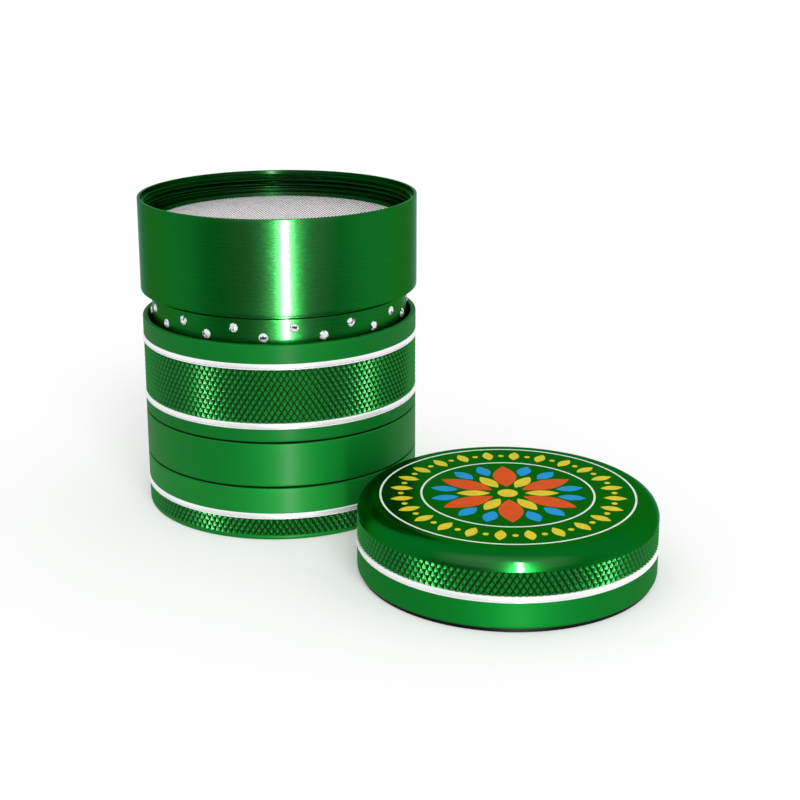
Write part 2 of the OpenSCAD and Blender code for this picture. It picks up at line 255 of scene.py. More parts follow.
def socket(shape, crest, z_face):
    """A threaded socket from its mouth down."""
    root = crest + shape.thread_ridge
    bottom = z_face - shape.thread_turns * shape.thread_pitch
    rows = thread_rows(shape, root, crest, z_face - 0.3, bottom)
    return [(root, z_face - 0.2)] + rows + [(root, z_face - shape.socket_depth)]


# ---------------------------------------------------------------- meshes and pieces

# The first column's place, as a share of a step: edge masks go wrong on an exact X or Y axis
COLUMN_OFFSET = 0.37

# A bore's face has less than this: its normal's part outwards times its distance from the axis
BORE_LIMIT = -0.004


def closed_mesh(verts, faces):
    """A closed mesh with its faces turned outwards."""
    mesh = bpy.data.meshes.new("closed")
    mesh.from_pydata(verts, [], faces)
    shape = bmesh.new()
    shape.from_mesh(mesh)
    if shape.calc_volume(signed=True) < 0:
        bmesh.ops.reverse_faces(shape, faces=shape.faces[:])
    shape.to_mesh(mesh)
    shape.free()
    return mesh


def turned_mesh(rows, segments, axis=STACK_AXIS, ring=True):
    """A mesh of revolution from rows of (radius or radii, height) in millimetres.

    A ring joins its last row to its first; otherwise both ends lie on the axis."""
    turn = (np.arange(segments) + COLUMN_OFFSET) * FULL_TURN / segments
    ways = np.stack([np.cos(turn), np.sin(turn)], axis=1)
    body_rows = rows if ring else rows[1:-1]
    number = len(body_rows)
    points = np.empty((number, segments, 3))
    for i, (radius, z) in enumerate(body_rows):
        reach = np.broadcast_to(radius, segments)[:, None]
        points[i, :, :2] = ways * reach * MM + np.array(axis)
        points[i, :, 2] = z * MM
    verts, faces = points.reshape(-1, 3).tolist(), []
    column = np.arange(segments)
    beside = (column + 1) % segments
    for i in range(number if ring else number - 1):
        k = (i + 1) % number
        a, b = i * segments + column, i * segments + beside
        c, d = k * segments + beside, k * segments + column
        low_r, high_r = body_rows[i][0], body_rows[k][0]
        if np.ndim(low_r) or np.ndim(high_r):
            low_r, high_r = np.broadcast_to(low_r, segments), np.broadcast_to(high_r, segments)
            first = low_r + high_r[beside] < low_r[beside] + high_r
            for way, triangles in (
                (first, ((a, b, c), (a, c, d))),
                (~first, ((a, b, d), (b, c, d))),
            ):
                for triangle in triangles:
                    faces += np.stack(triangle, axis=1)[way].tolist()
        else:
            faces += np.stack([a, b, c, d], axis=1).tolist()
    if not ring:
        for row, z, way in ((0, rows[0][1], -1), (number - 1, rows[-1][1], 1)):
            pole = np.full(segments, len(verts))
            verts.append((*axis, z * MM))
            edge = [row * segments + column, row * segments + beside][::way]
            faces += np.stack([*edge, pole], axis=1).tolist()
    return closed_mesh(verts, faces)


def prisms(outlines, z_low, z_high, axis=STACK_AXIS):
    """Upright prisms over flat outlines, each a list of (x, y) in millimetres, as one mesh."""
    verts, faces = [], []
    for outline in outlines:
        first, n = len(verts), len(outline)
        for z in (z_low, z_high):
            verts += [(axis[0] + x * MM, axis[1] + y * MM, z * MM) for x, y in outline]
        faces.append(list(range(first + n - 1, first - 1, -1)))
        faces.append(list(range(first + n, first + 2 * n)))
        for i in range(n):
            k = (i + 1) % n
            faces.append([first + i, first + k, first + n + k, first + n + i])
    return closed_mesh(verts, faces)


def circle(radius, centre=(0.0, 0.0), steps=32):
    """The outline of a circle."""
    return [
        (centre[0] + radius * math.cos(a), centre[1] + radius * math.sin(a))
        for a in np.arange(steps) * FULL_TURN / steps
    ]


def with_holes(mesh, cutter):
    """The mesh with the cutter mesh taken out of it."""
    pieces = [bpy.data.objects.new("cut", part) for part in (mesh, cutter)]
    for piece in pieces:
        bpy.context.scene.collection.objects.link(piece)
    whole, tool = pieces
    cut = whole.modifiers.new("holes", "BOOLEAN")
    cut.operation = "DIFFERENCE"
    cut.object = tool
    cut.solver = "MANIFOLD"
    graph = bpy.context.evaluated_depsgraph_get()
    drilled = bpy.data.meshes.new_from_object(whole.evaluated_get(graph))
    for piece in pieces:
        bpy.data.objects.remove(piece)
    return drilled


def add_piece(name, mesh, body, finishes, node=None, sharp=32, chooser=None):
    """Shades a mesh and makes it a piece that rides on its body and may stand for a node.

    Where there are two finishes, chooser(centre, normal) says which faces get the second."""
    mesh.name = name
    mesh.shade_smooth()
    mesh.set_sharp_from_angle(angle=math.radians(sharp))
    mesh.materials.clear()
    for finish in finishes:
        mesh.materials.append(finish_named(finish))
    if chooser:
        for face in mesh.polygons:
            face.material_index = int(chooser(face.center, face.normal))
    piece = bpy.data.objects.new(name, mesh)
    bpy.context.scene.collection.objects.link(piece)
    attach(piece, body)
    if node:
        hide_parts(node)


def in_bore(centre, normal):
    """Says whether a face of the stack looks towards its axis."""
    return normal.x * centre.x + normal.y * centre.y < BORE_LIMIT


def add_turned(name, mesh, body, node, outside):
    """Adds a turned piece of the stack, whose bore faces get a darker finish: painted shade."""
    finishes = outside, "bore anodised"
    add_piece(name, mesh, body, finishes, node, chooser=in_bore)


def add_grip(name, body, node, finish, z_from, z_to, axis=STACK_AXIS):
    """Adds a closed sleeve with a diamond knurl outside; its inner wall sits in a recess."""
    shape, knurl = bpy.context.scene.grinder_shape, bpy.context.scene.grinder_knurl
    segments = knurl.diamonds * knurl.steps
    across = np.arange(segments) / knurl.steps
    step = knurl.height / knurl.steps
    between = np.arange(z_from // step + 1, z_to // step + 1) * step
    inner = BODY_R - shape.recess - 0.1
    rows = [(inner, z_from)]
    for z in (z_from, *(z for z in between if z_from < z < z_to), z_to):
        along = z / knurl.height
        cuts = [1 - 2 * np.abs(v % 1.0 - 0.5) for v in (across + along, across - along)]
        left = np.minimum(np.minimum(*cuts), knurl.crest) / knurl.crest
        rows.append((BODY_R - knurl.depth * (1 - left), z))
    rows.append((inner, z_to))
    mesh = turned_mesh(rows, segments, axis)
    add_piece(name, mesh, body, [finish], node, sharp=20)


# ---------------------------------------------------------------- shader groups and materials

class Wiring:
    """Shortcuts to add and link the nodes of a shader tree."""

    def __init__(self, tree):
        self.nodes, self.links = tree.nodes, tree.links

    def feed(self, value, socket):
        """Links an input, or sets it to a number or a colour."""
        if isinstance(value, bpy.types.NodeSocket):
            self.links.new(value, socket)
        else:
            socket.default_value = (*value, 1.0) if isinstance(value, tuple) else value

    def fill(self, node, **values):
        """Feeds a node's inputs; spaces in their names are written as underscores."""
        for label, value in values.items():
            self.feed(value, node.inputs[label.replace("_", " ")])
        return node

    def node(self, kind, **values):
        """A new node with its inputs fed."""
        return self.fill(self.nodes.new(f"ShaderNode{kind}"), **values)

    def maths(self, operation, first, second=None):
        """A maths node on one or two values."""
        node = self.node("Math")
        node.operation = operation
        for value, socket in zip((first, second), node.inputs):
            if value is not None:
                self.feed(value, socket)
        return node.outputs[0]

    def noise(self, dimensions, **values):
        """A noise texture's value."""
        node = self.node("TexNoise")
        node.noise_dimensions = dimensions
        return self.fill(node, **values).outputs["Fac"]

    def ramp(self, value, low, high, start=0.3, end=0.7):
        """A value moved from start..end to low..high."""
        limits = {"From_Min": start, "From_Max": end, "To_Min": low, "To_Max": high}
        return self.node("MapRange", Value=value, **limits).outputs["Result"]

    def mix(self, mask, first, second, kind="FLOAT"):
        """first where the mask is 0 and second where it is 1."""
        node = self.node("Mix", Factor=mask)
        node.data_type = kind
        a, b, result = {"FLOAT": (2, 3, 0), "RGBA": (6, 7, 2)}[kind]
        self.feed(first, node.inputs[a])
        self.feed(second, node.inputs[b])
        return node.outputs[result]

    def blend(self, mask, first, second):
        """One colour turning into another by a mask."""
        return self.mix(mask, first, second, "RGBA")

    def greys(self, value, stops):
        """A ramp of greys over a value from 0 to 1; stops are (place, grey), in order."""
        node = self.node("ValToRGB", Fac=value)
        node.color_ramp.interpolation = "EASE"
        points = node.color_ramp.elements
        for place, _ in stops[1:-1]:
            points.new(place)
        for point, (place, grey) in zip(points, stops):
            point.position = place
            point.color = (grey, grey, grey, 1.0)
        return node.outputs["Color"]


class Effect(Wiring):
    """A shader group being built; all that goes in and out of it is numbers."""

    def __init__(self, name, inputs, outputs):
        self.group = bpy.data.node_groups.new(name, "ShaderNodeTree")
        super().__init__(self.group)
        for label, default in inputs.items():
            self.entry(label, "INPUT").default_value = default
        for label in outputs:
            self.entry(label, "OUTPUT")
        self.given = self.nodes.new("NodeGroupInput").outputs
        self.results = self.nodes.new("NodeGroupOutput")

    def entry(self, label, way):
        kind = "NodeSocketFloat"
        return self.group.interface.new_socket(label, in_out=way, socket_type=kind)


def lathe_lines():
    """Fine lines left by a lathe: rings round the axis on flat faces and walls."""
    group = Effect(
        "lathe lines",
        {"Axis X": 0.0, "Axis Y": 0.0, "Lines per mm": 4.0, "Unevenness": 0.3},
        ("Height", "Streaks", "Radius"),
    )
    given, maths = group.given, group.maths
    place = group.node("SeparateXYZ", Vector=group.node("TexCoord").outputs["Object"]).outputs
    x = maths("SUBTRACT", place["X"], given["Axis X"])
    y = maths("SUBTRACT", place["Y"], given["Axis Y"])
    radius = maths("SQRT", maths("ADD", maths("POWER", x, 2.0), maths("POWER", y, 2.0)))
    around = maths("MULTIPLY", maths("ARCTAN2", y, x), 11.0)
    travel = maths("MULTIPLY", maths("ADD", place["Z"], radius), 1 / MM)
    spot = group.node("CombineXYZ", X=around, Y=maths("MULTIPLY", travel, 3.0)).outputs[0]
    streaks = group.noise("2D", Vector=spot, Scale=1.0, Detail=2.0)
    shift = maths("MULTIPLY", streaks, given["Unevenness"])
    line = maths("ADD", maths("MULTIPLY", travel, given["Lines per mm"]), shift)
    group.fill(
        group.results,
        Height=group.noise("1D", W=line, Scale=1.0, Detail=3.0, Roughness=0.65),
        Streaks=streaks,
        Radius=maths("MULTIPLY", radius, 1 / MM),
    )
    return group.group


def fine_grain():
    """A fine blasted grain with soft handling marks."""
    group = Effect("fine grain", {"Grains per mm": 7.0, "Marks per mm": 0.09}, ("Height", "Marks"))
    place = group.node("TexCoord").outputs["Object"]
    grains, marks = (
        group.noise(
            "3D", Vector=place, Scale=group.maths("MULTIPLY", per_mm, 1 / MM), Detail=detail
        )
        for per_mm, detail in zip(group.given, (2.0, 4.0))
    )
    group.fill(group.results, Height=grains, Marks=marks)
    return group.group


def relief():
    """Masks of a form's outer edges and crests, and of its grooves and inner corners."""
    group = Effect(
        "relief", {"Edge Start": 0.52, "Groove Start": 0.48, "Width": 0.05}, ("Edge", "Groove")
    )
    given, maths = group.given, group.maths
    point = group.node("NewGeometry").outputs["Pointiness"]
    edge, groove = (
        group.node("Clamp", Value=maths("DIVIDE", rise, given["Width"])).outputs[0]
        for rise in (
            maths("SUBTRACT", point, given["Edge Start"]),
            maths("SUBTRACT", given["Groove Start"], point),
        )
    )
    group.fill(group.results, Edge=edge, Groove=groove)
    return group.group


EFFECTS = {"lathe lines": lathe_lines, "fine grain": fine_grain, "relief": relief}


class Finish(Wiring):
    """A material being built round its Principled shader."""

    def __init__(self, name, **values):
        self.material = bpy.data.materials.new(name)
        self.material.use_nodes = True
        super().__init__(self.material.node_tree)
        self.set(**values)

    def set(self, **values):
        """Feeds the shader's inputs."""
        self.fill(self.nodes["Principled BSDF"], **values)

    def effect(self, name, **values):
        """The outputs of a placed shader group."""
        node = self.node("Group")
        node.node_tree = bpy.data.node_groups.get(name) or EFFECTS[name]()
        return self.fill(node, **values).outputs

    def bump(self, *heights):
        """Bumps on top of each other: (height socket, depth in millimetres, strength)."""
        normal = {}
        for height, depth, strength in heights:
            node = self.node("Bump", Height=height, Distance=depth * MM, Strength=strength)
            self.fill(node, **normal)
            normal = {"Normal": node.outputs["Normal"]}
        self.set(**normal)

    def lathe_grain(self, stretch):
        """Stretches highlights across the lathe lines."""
        way = self.node("Tangent")
        way.direction_type = "RADIAL"
        way.axis = "Z"
        tangent = way.outputs["Tangent"]
        self.set(Tangent=tangent, Anisotropic=stretch, Anisotropic_Rotation=0.25)


def scaled(tint, factor):
    return tuple(c * factor for c in tint)


def anodised_metal(
    name, dyed, roughness, metallic=0.6, axis=STACK_AXIS, stretch=0.0, lines=0.006, coat=0.1,
    polish=0.3, painted_light_scale=1.0, glaze=0.0, grooves=0.0,
):
    """Dyed anodised aluminium: tinted metal under a clear oxide, with a painted highlight on its
    edges and crests and painted shade in its grooves.

    stretch draws highlights out across the lathe lines, whose depth in millimetres is lines.
    coat and polish are the clear oxide's weight and roughness, and glaze is its weight where
    the metal is seen square on. The scale of the colour makes lighter and darker copies of the
    one green, painted light and shade, and grooves is a knurl's depth in millimetres, down to
    which its grooves are painted darker."""
    finish = Finish(
        name, Metallic=metallic, Specular_Tint=(0.22, 0.5, 0.38), Specular_IOR_Level=0.3,
        Coat_Weight=coat, Coat_Roughness=polish, Coat_IOR=1.6,
    )
    tint = scaled(dyed, painted_light_scale)
    turned = finish.effect(
        "lathe lines", Axis_X=axis[0], Axis_Y=axis[1], Lines_per_mm=3.0, Unevenness=0.3 + 40 * lines
    )
    grain = finish.effect("fine grain")
    shade = finish.blend(finish.ramp(grain["Marks"], 0.0, 1.0), scaled(tint, 0.92), tint)
    lined = finish.blend(finish.ramp(turned["Height"], 0.0, 12 * lines), shade, scaled(tint, 2.0))
    # Painted shade in the grooves and a painted highlight on crests and edges: a knurl's by its
    # radius, other forms' by pointiness.
    if grooves:
        groove_shade_mask = finish.ramp(turned["Radius"], 1.0, 0.0, BODY_R - grooves, BODY_R - grooves * 0.45)
        crest = finish.ramp(turned["Radius"], 0.0, 1.0, BODY_R - 0.04, BODY_R)
        groove_shade_factor = 0.2
    else:
        form = finish.effect("relief")
        groove_shade_mask = finish.ramp(form["Groove"], 0.0, 1.0, 0.0, 0.35)
        crest = finish.ramp(form["Edge"], 0.0, 0.35, 0.0, 0.8)
        groove_shade_factor = 0.06
    with_painted_shade = finish.blend(groove_shade_mask, lined, scaled(tint, groove_shade_factor))
    painted_highlight = tuple(c * 1.5 + 0.012 for c in tint)
    finish.set(
        Base_Color=finish.blend(crest, with_painted_shade, painted_highlight),
        Roughness=finish.ramp(grain["Marks"], roughness * 0.93, roughness * 1.07),
    )
    if glaze:
        facing = finish.node("LayerWeight").outputs["Facing"]
        square_on, slanted = 0.035, 0.12
        finish.set(Coat_Weight=finish.ramp(facing, glaze, coat, square_on, slanted))
    bumps = [(turned["Height"], lines, 0.8), (grain["Height"], 0.003, 0.3)]
    if stretch:
        finish.lathe_grain(stretch)
        bumps.append((turned["Streaks"], 0.06, 1.0))
    finish.bump(*bumps)
    return finish.material


def bare_metal(name, tint, roughness, metallic=1.0, axis=STACK_AXIS):
    """Bright turned or plated metal, with painted shade in its grooves."""
    finish = Finish(name, Metallic=metallic)
    turned = finish.effect("lathe lines", Axis_X=axis[0], Axis_Y=axis[1], Lines_per_mm=9.0)
    grain = finish.effect("fine grain", Grains_per_mm=11.0)
    # Painted shade: the grooves are coloured near black.
    groove = finish.effect("relief", Groove_Start=0.49)["Groove"]
    bright = finish.blend(finish.ramp(grain["Marks"], 0.0, 1.0), scaled(tint, 0.94), tint)
    finish.set(
        Base_Color=finish.blend(groove, bright, (0.012, 0.014, 0.013)),
        Roughness=finish.ramp(turned["Height"], roughness * 0.8, roughness * 1.3),
    )
    finish.bump((turned["Height"], 0.004, 0.5), (grain["Height"], 0.002, 0.3))
    return finish.material


def cut_crystal(name, tint):
    """A foil-backed cut stone: bright, with a few dark wedges of painted reflection."""
    finish = Finish(name, Metallic=0.15, Coat_Weight=1.0, Coat_Roughness=0.03)
    grain = finish.effect("fine grain", Grains_per_mm=2.0, Marks_per_mm=1.1)
    cool = (tint[0] * 0.86, tint[1] * 0.9, tint[2] * 0.92)
    bright = finish.blend(finish.ramp(grain["Height"], 0.0, 1.0), cool, tint)
    # Painted reflection: dark wedges stand for dark surroundings mirrored in the facets.
    painted_dark_reflection = finish.ramp(grain["Marks"], 0.0, 1.0, 0.55, 0.57)
    finish.set(
        Base_Color=finish.blend(painted_dark_reflection, bright, (0.02, 0.03, 0.03)),
        Roughness=finish.ramp(grain["Marks"], 0.03, 0.09),
    )
    finish.bump((grain["Height"], 0.004, 0.2))
    return finish.material


def grained(
    name, tint, marked, roughness, bump, grains, marks, shade=1.0, metallic=0.0, gloss=0.5
):
    """A plain surface with a fine grain and soft marks, such as wire, rubber or printed ink.

    marked scales the colour from one end of the marks to the other, roughness is its range
    over them, bump is the grain's depth in millimetres and its strength, and grains and marks
    are their numbers in a millimetre. shade scales the colour down: painted shade for the
    weave's low faces."""
    finish = Finish(name, Metallic=metallic, Specular_IOR_Level=gloss)
    grain = finish.effect("fine grain", Grains_per_mm=grains, Marks_per_mm=marks)
    low, high = (scaled(scaled(tint, shade), factor) for factor in marked)
    finish.set(
        Base_Color=finish.blend(finish.ramp(grain["Marks"], 0.0, 1.0), low, high),
        Roughness=finish.ramp(grain["Marks"], *roughness),
    )
    finish.bump((grain["Height"], *bump))
    return finish.material


# grooves is the depth down to which a knurl's grooves get painted shade.
KNURLED = dict(roughness=0.32, metallic=0.8, polish=0.24, grooves=0.46)
TOOTHED = dict(roughness=0.42, metallic=0.85, coat=0.2)
BAND = dict(roughness=0.25, metallic=0.25)
WIRE = dict(
    marked=(0.92, 1.0), roughness=(0.34, 0.46), bump=(0.004, 0.3), grains=16.0, marks=0.5,
    metallic=0.25,
)
SEAL = dict(
    marked=(1.0, 1.8), roughness=(0.63, 0.805), bump=(0.01, 0.4), grains=6.0, marks=0.2, gloss=0.0
)
GLIDE = dict(SEAL, roughness=(0.36, 0.46), grains=3.0, gloss=0.08)
INK = dict(
    marked=(0.82, 1.0), roughness=(0.48, 0.64), bump=(0.008, 0.35), grains=3.5, marks=0.7,
    gloss=0.05,
)

# Each finish: its maker, the setting with its colour, and what the maker needs besides
# The anodised finishes are lighter and darker copies of one green: painted light and shade.
FINISHES = {
    "turned anodised": (anodised_metal, "anodised", dict(
        roughness=0.34, metallic=1.0, stretch=0.7, lines=0.014, coat=0.08, polish=0.18, painted_light_scale=0.74,
        glaze=0.75,
    )),
    # The bore's copy is the darkest: painted shade on every face that looks towards the axis.
    "bore anodised": (anodised_metal, "anodised", dict(
        roughness=0.26, metallic=1.0, stretch=0.6, coat=0.01, polish=0.16, painted_light_scale=0.3, glaze=0.3
    )),
    "smooth anodised lid": (anodised_metal, "anodised", dict(
        roughness=0.25, metallic=1.0, axis=LID_AXIS, lines=0.002, coat=0.02, polish=0.12, painted_light_scale=0.76,
        glaze=0.6,
    )),
    "satin anodised": (anodised_metal, "anodised", dict(roughness=0.62, metallic=0.5)),
    "satin anodised lid": (anodised_metal, "anodised", dict(
        roughness=0.62, axis=LID_AXIS, coat=0.01, painted_light_scale=0.94
    )),
    # The chamber's copy is rougher and darker: painted shade under the top ring.
    "soft anodised": (anodised_metal, "anodised", dict(
        roughness=0.66, metallic=0.35, coat=0.05, painted_light_scale=0.88
    )),
    "knurled anodised": (anodised_metal, "anodised", dict(KNURLED, coat=0.35, painted_light_scale=1.15)),
    "knurled anodised lid": (anodised_metal, "anodised", dict(
        KNURLED, axis=LID_AXIS, coat=0.25, painted_light_scale=1.1
    )),
    "tooth anodised": (anodised_metal, "anodised", TOOTHED),
    "tooth anodised lid": (anodised_metal, "anodised", dict(TOOTHED, axis=LID_AXIS)),
    "bright band": (bare_metal, "bare", BAND),
    "bright band lid": (bare_metal, "bare", dict(BAND, axis=LID_AXIS)),
    "nickel plate": (bare_metal, "nickel", dict(roughness=0.18)),
    "cut crystal": (cut_crystal, "crystal", {}),
    "woven wire": (grained, "wire", WIRE),
    # The weave's low faces: the same wire darkened, painted shade between the wires.
    "dull wire": (grained, "wire", dict(WIRE, shade=0.2)),
    "seal rubber": (grained, "rubber", SEAL),
    "glide nylon": (grained, "nylon", GLIDE),
    "white ink": (grained, "ink_white", INK),
    "yellow ink": (grained, "ink_yellow", INK),
    "orange ink": (grained, "ink_orange", INK),
    "blue ink": (grained, "ink_blue", INK),
}


def finish_named(name):
    """A finish, made when the first piece asks for it."""
    made = bpy.data.materials.get(name)
    if made:
        return made
    maker, colour_name, values = FINISHES[name]
    return maker(name, tuple(getattr(bpy.context.scene.grinder_finish, colour_name)), **values)


# ---------------------------------------------------------------- operators

NECK_R = BODY_R - 2.2
SHOULDER = high_z("crystals") + 2.05


class BaseCupOperator(bpy.types.Operator):
    """Turn the base cup and knurl its foot"""

    bl_idname = "grinder.base_cup"
    bl_label = "Base Cup"

    def execute(self, context):
        shape = context.scene.grinder_shape
        top, band_low, band_high = high_z("base_cup"), low_z("base_band"), high_z("base_band")
        foot_h, floor_t, fillet, cup_r = 1.1, 1.8, 2.6, BODY_R - 3.7
        recess_r = BODY_R - shape.recess
        rows = (
            [(0.0, 0.12), (BODY_R - 3.0, 0.12)]
            + soften([
                (BODY_R - 2.6, 0.0), (BODY_R - 0.15, 0.0), (BODY_R - 0.02, foot_h),
                (recess_r, foot_h),
            ], 0.45)
            + [(recess_r, band_high)]
            + soften([(recess_r + 0.1, band_high), (BODY_R, band_high), (BODY_R, top - 1)], 0.1)
            + soften([
                (BODY_R, top - 1), (BODY_R, top), (shape.socket_r + 0.7, top),
                (shape.socket_r + 0.5, top - 0.3),
            ], shape.edge_round)
            + socket(shape, shape.socket_r, top)
            + [(cup_r, top - shape.socket_depth)]
            + arc((cup_r - fillet, floor_t + fillet), fillet, 0, -90)
            + [(0.0, floor_t)]
        )
        mesh = turned_mesh(rows, shape.segments, ring=False)
        add_turned("base_cup_turned", mesh, "base", "base_cup", "satin anodised")
        add_grip("base_knurl", "base", "base_cup", "knurled anodised", foot_h, band_low)
        return {"FINISHED"}


class CatchRingOperator(bpy.types.Operator):
    """Turn the plain catch ring"""

    bl_idname = "grinder.catch_ring"
    bl_label = "Catch Ring"

    def execute(self, context):
        shape = context.scene.grinder_shape
        face, foot, top = low_z("base_seal"), high_z("base_seal"), high_z("catch_ring")
        seat_z, seat_r = low_z("catch_screen"), width_r("catch_screen") + 0.05
        neck_root, ledge_r = shape.neck_r - shape.thread_ridge, seat_r - 1.7
        rows = (
            male_neck(shape, shape.neck_r, shape.neck_bore_r, face)
            + soften([
                (neck_root, foot), (BODY_R, foot), (BODY_R, top), (shape.socket_r + 0.7, top)
            ], shape.edge_round)
            + socket(shape, shape.socket_r, top)
            + soften([
                (seat_r, top - shape.socket_depth), (seat_r, seat_z), (ledge_r, seat_z),
                (ledge_r, foot), (shape.neck_bore_r, foot - 0.4),
            ], shape.inner_round)
        )
        mesh = turned_mesh(rows, shape.segments)
        add_turned("catch_ring_turned", mesh, "catch", "catch_ring", "satin anodised")
        return {"FINISHED"}


class ChamberOperator(bpy.types.Operator):
    """Turn, knurl and drill the grinding chamber"""

    bl_idname = "grinder.chamber"
    bl_label = "Grinding Chamber"

    def execute(self, context):
        shape = context.scene.grinder_shape
        face, foot, rim = low_z("catch_seal"), high_z("catch_seal"), high_z("chamber_body")
        grip_low, grip_high = low_z("chamber_band_lower"), high_z("chamber_band_upper")
        ledge_z, floor_top = low_z("chamber_seal"), low_z("chamber_teeth")
        floor_z, mouth_r, joint_r = foot + 0.6, BODY_R - 1.25, BODY_R - 3.3
        post_r, post_top = 5.3, high_z("chamber_teeth")
        pocket_r, pocket_z = width_r("chamber_magnet") + 0.05, low_z("chamber_magnet")
        neck_root, recess_r = shape.neck_r - shape.thread_ridge, BODY_R - shape.recess
        rows = (
            [(0.0, floor_z)]
            + [(shape.neck_bore_r - 0.4, floor_z), (shape.neck_bore_r, floor_z - 0.3)]
            + male_neck(shape, shape.neck_r, shape.neck_bore_r, face)
            + soften([(neck_root, foot), (BODY_R, foot), (BODY_R, foot + 1)], shape.edge_round)
            + soften([(BODY_R, grip_low - 1), (BODY_R, grip_low), (recess_r, grip_low)], 0.1)
            + soften([(recess_r, grip_high), (BODY_R, grip_high), (BODY_R, grip_high + 1)], 0.1)
            + soften([
                (BODY_R, rim - 1), (BODY_R, rim), (mouth_r, rim), (mouth_r, ledge_z),
                (joint_r + 0.7, ledge_z), (joint_r + 0.5, ledge_z - 0.2),
            ], shape.edge_round)
            + socket(shape, joint_r, ledge_z)
            + soften([
                (joint_r, ledge_z - shape.socket_depth), (joint_r, floor_top),
                (post_r, floor_top), (post_r, post_top), (pocket_r, post_top),
                (pocket_r, pocket_z), (1.0, pocket_z),
            ], shape.inner_round)
            + [(0.0, pocket_z)]
        )
        holes, hole_r = [], 1.8
        for reach, number in ((14.9, 10), (24.1, 18)):
            for i in range(number):
                way = (i + 0.5) * FULL_TURN / number
                holes.append(circle(hole_r, (reach * math.cos(way), reach * math.sin(way)), 24))
        mesh = turned_mesh(rows, shape.segments, ring=False)
        mesh = with_holes(mesh, prisms(holes, floor_z - 1, floor_top + 1))
        add_turned("chamber_turned", mesh, "chamber", "chamber_body", "soft anodised")
        add_grip(
            "chamber_knurl", "chamber", "chamber_body", "knurled anodised",
            high_z("chamber_band_lower"), low_z("chamber_band_upper"),
        )
        return {"FINISHED"}


class TopRingOperator(bpy.types.Operator):
    """Turn the top ring with its neck and its threaded mouth"""

    bl_idname = "grinder.top_ring"
    bl_label = "Top Ring"

    def execute(self, context):
        shape = context.scene.grinder_shape
        top_r, top = width_r("top_ring"), high_z("top_ring")
        face, seat_z = high_z("chamber_seal"), low_z("top_screen")
        joint_crest, spigot_bore = BODY_R - 3.6, BODY_R - 5.7
        step_r, step_z, mouth_r = top_r - 0.7, top - 0.9, top_r - 1.6
        seat_r = width_r("top_screen") + 0.05
        mouth_end = step_z - 3 * shape.thread_pitch
        open_r, wall_r, slope = seat_r - 1.75, top_r - 2.8, 3.0
        rows = (
            male_neck(shape, joint_crest, spigot_bore, face - 0.4)
            + soften([
                (joint_crest - shape.thread_ridge, face), (NECK_R, face),
                (NECK_R, SHOULDER - 1.1), (NECK_R - 0.5, SHOULDER - 1.05),
                (NECK_R - 0.5, SHOULDER), (top_r - 1.0, SHOULDER),
            ], 0.1)
            + soften([(top_r - 1.0, SHOULDER), (top_r, SHOULDER), (top_r, SHOULDER + 1.0)], 0.35)
            + soften([
                (top_r, top - 1.0), (top_r, top), (step_r, top), (step_r, step_z),
                (mouth_r + 0.25, step_z), (mouth_r + 0.1, step_z - 0.2),
            ], 0.14)
            + thread_rows(shape, mouth_r + shape.thread_ridge, mouth_r, step_z - 0.25, mouth_end)
            + soften([
                (seat_r, mouth_end - 0.05), (seat_r, seat_z), (open_r, seat_z),
                (open_r, seat_z - 0.8), (wall_r, seat_z - 0.8 - (wall_r - open_r)),
                (wall_r, SHOULDER + slope), (spigot_bore, SHOULDER), (spigot_bore, face),
            ], shape.inner_round)
        )
        mesh = turned_mesh(rows, shape.segments)
        add_turned("top_ring_turned", mesh, "top", "top_ring", "turned anodised")
        return {"FINISHED"}


class LidShellOperator(bpy.types.Operator):
    """Turn the lid and knurl its grip"""

    bl_idname = "grinder.lid_shell"
    bl_label = "Lid"

    def execute(self, context):
        shape = context.scene.grinder_shape
        skirt, top = low_z("lid_shell"), high_z("lid_shell")
        band_low, band_high = low_z("lid_band"), high_z("lid_band")
        cavity_r, ceiling, round_r = BODY_R - 3.3, high_z("lid_teeth"), 3.6
        boss_r, boss_z = 5.3, low_z("lid_magnet")
        pocket_r, pocket_z = width_r("lid_magnet") + 0.05, high_z("lid_magnet")
        groove_in, groove_out, groove_z = 29.15, 30.45, skirt + 1.7
        recess_r = BODY_R - shape.recess
        rows = (
            [(0.0, pocket_z), (pocket_r - 0.3, pocket_z)]
            + soften([
                (pocket_r, pocket_z), (pocket_r, boss_z), (boss_r, boss_z), (boss_r, ceiling),
                (cavity_r, ceiling), (cavity_r, skirt), (groove_in, skirt), (groove_in, groove_z),
                (groove_out, groove_z), (groove_out, skirt),
            ], shape.inner_round)
            + soften([(groove_out + 0.1, skirt), (BODY_R, skirt), (BODY_R, skirt + 1)], 0.4)
            + soften([(BODY_R, band_low - 1), (BODY_R, band_low), (recess_r, band_low)], 0.1)
            + [(recess_r, top - round_r)]
            + arc((BODY_R - round_r, top - round_r), round_r, 0, 90, 24)
            + [(BODY_R - round_r - 2, top), (0.0, top)]
        )
        polished_z = (top - round_r - 0.2) * MM
        add_piece(
            "lid_turned", turned_mesh(rows, shape.segments, LID_AXIS, ring=False), "lid",
            ("satin anodised lid", "smooth anodised lid"), "lid_shell",
            chooser=lambda centre, normal: centre.z > polished_z,
        )
        add_grip(
            "lid_knurl", "lid", "lid_shell", "knurled anodised lid", band_high, top - round_r,
            LID_AXIS,
        )
        return {"FINISHED"}


